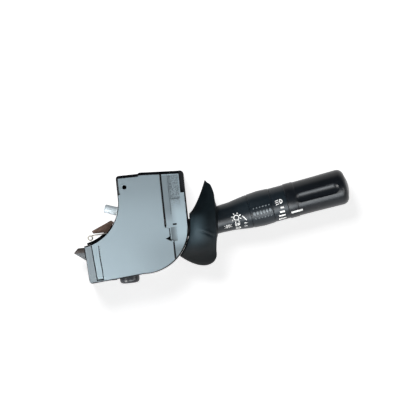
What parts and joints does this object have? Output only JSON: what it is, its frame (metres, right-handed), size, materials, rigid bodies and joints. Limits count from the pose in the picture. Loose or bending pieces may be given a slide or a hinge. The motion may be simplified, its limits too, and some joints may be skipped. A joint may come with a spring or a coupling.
{
  "type": "combination stalk switch",
  "caption": "Steering-column stalk switch: curved housing with grey cover, flared boot, and a stalk with turning sleeve, turning end knob and push buttons",
  "frame": {"origin": "On the flat back of the housing, 4 mm above and 3.4 mm left of the turn pivot", "axes": "X along the housing towards the stalk, Y across it, away from the push button, Z out through the grey cover, parallel to the steering column"},
  "size_m": [0.1965, 0.0766, 0.036],
  "materials": {
    "housing_black": "satin moulded plastic",
    "cover_grey": "satin blue-grey plastic",
    "zinc_steel": "zinc plated",
    "insert_brass": "bright",
    "brown_copper": "dull dark brown copper",
    "spring_steel": "bright wire",
    "nose_brown": "satin",
    "pin_steel": "ground",
    "board_green": "solder mask",
    "white_plastic": "satin",
    "stalk_black": "fine satin grain",
    "boot_rubber": "satin rubber",
    "knob_black": "satin",
    "button_black": "semi gloss",
    "pin_grey": "satin"
  },
  "bodies": {
    "housing": {"base_housing": "housing_black", "cover": "cover_grey", "side_cover": "cover_grey", "end_panel": "cover_grey", "case_screws": "zinc_steel", "mount_inserts": "insert_brass", "contact_band": "housing_black", "horn_contact": "brown_copper", "horn_spring": "spring_steel", "locating_nose": "nose_brown", "turn_pin": "pin_steel", "circuit_board": "board_green", "board_contacts": "insert_brass", "connector_socket": "housing_black", "terminal_blades": "insert_brass", "detent_track": "white_plastic", "button_switch": "housing_black", "button_spring": "spring_steel", "cancel_bush": "white_plastic", "cancel_spring": "spring_steel"},
    "yoke": {"turn_yoke": "white_plastic", "flash_pin": "pin_steel", "detent_plunger": "insert_brass", "detent_spring": "spring_steel"},
    "stalk": {"stalk_arm": "stalk_black", "stalk_tube": "stalk_black", "contact_plate": "insert_brass", "boot": "boot_rubber", "boot_collar": "stalk_black", "index_ring": "stalk_black"},
    "sleeve": {"grip_sleeve": "stalk_black"},
    "knob": {"end_knob": "knob_black", "knob_rod": "pin_steel", "rotary_contact": "insert_brass", "end_spring": "spring_steel"},
    "tip_button": {"end_button": "button_black"},
    "slider": {"contact_slider": "white_plastic", "slider_wipers": "insert_brass"},
    "side_button": {"low_button": "button_black"},
    "cancel": {"cancel_pin": "pin_grey"}
  },
  "joints": [
    {"name": "turn", "type": "hinge", "parent": "housing", "child": "yoke", "pos_m": [0.0034, -0.004, 0.019], "axis": [0, 0, 1], "range_deg": [-7, 7]},
    {"name": "flash", "type": "hinge", "parent": "yoke", "child": "stalk", "pos_m": [0.01612, -0.00999, 0.019], "axis": [-0.1564, 0.9877, 0], "range_deg": [-5, 5], "stiffness_Nm_per_rad": 6},
    {"name": "sleeve_turn", "type": "hinge", "parent": "stalk", "child": "sleeve", "pos_m": [0.0577, -0.0034, 0.019], "axis": [0.9877, 0.1564, 0], "range_deg": [-15, 15]},
    {"name": "knob_turn", "type": "hinge", "parent": "stalk", "child": "knob", "pos_m": [0.0577, -0.0034, 0.019], "axis": [0.9877, 0.1564, 0], "range_deg": [-30, 15]},
    {"name": "tip_press", "type": "slide", "parent": "knob", "child": "tip_button", "axis": [-0.9877, -0.1564, 0], "range_m": [0, 0.0018], "stiffness_N_per_m": 800, "springref_m": -0.001},
    {"name": "slider_follow", "type": "slide", "parent": "housing", "child": "slider", "axis": [0.5878, -0.809, 0], "range_m": [-0.0019, 0.0019]},
    {"name": "side_press", "type": "slide", "parent": "housing", "child": "side_button", "axis": [0, 1, 0], "range_m": [0, 0.002], "stiffness_N_per_m": 800, "springref_m": -0.001},
    {"name": "cancel_press", "type": "slide", "parent": "housing", "child": "cancel", "axis": [0.9455, -0.3256, 0], "range_m": [0, 0.003], "stiffness_N_per_m": 400, "springref_m": -0.001}
  ],
  "couplings": [
    {"joint": "slider_follow", "follows": "turn", "m_per_rad": 0.014}
  ]
}
